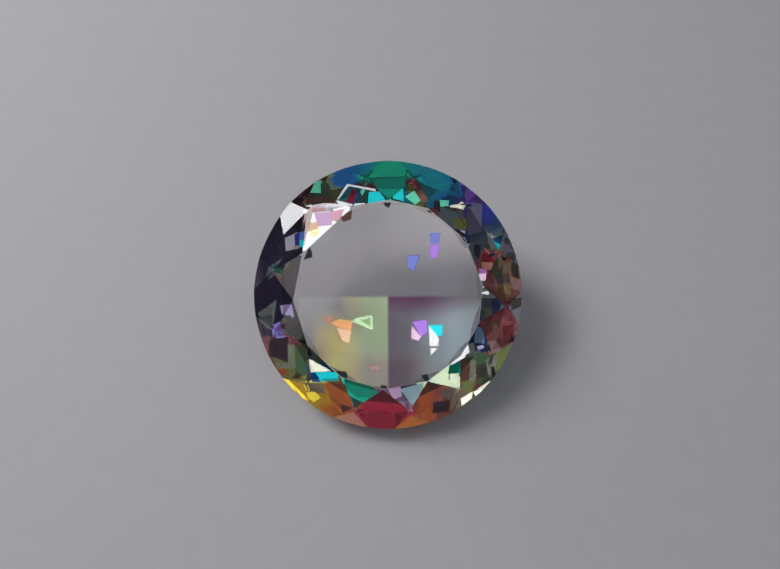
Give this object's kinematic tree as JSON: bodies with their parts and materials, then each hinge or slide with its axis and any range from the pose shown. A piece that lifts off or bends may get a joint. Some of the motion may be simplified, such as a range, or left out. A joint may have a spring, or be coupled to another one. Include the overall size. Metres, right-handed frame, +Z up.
{
  "type": "faceted quartz gemstone",
  "caption": "Round faceted clear quartz with a rainbow coating on its back facets, lying tipped on its back.",
  "frame": {"origin": "under the middle of the stone's bounding box, on the surface it lies on", "axes": "+Z up from that surface, +X along the stone's full diameter, -Y towards the low side that the table faces"},
  "size_m": [0.04, 0.0368, 0.0211],
  "materials": {
    "coated_quartz": "polished"
  },
  "bodies": {
    "root": {"rainbow_quartz": "coated_quartz"}
  },
  "joints": []
}
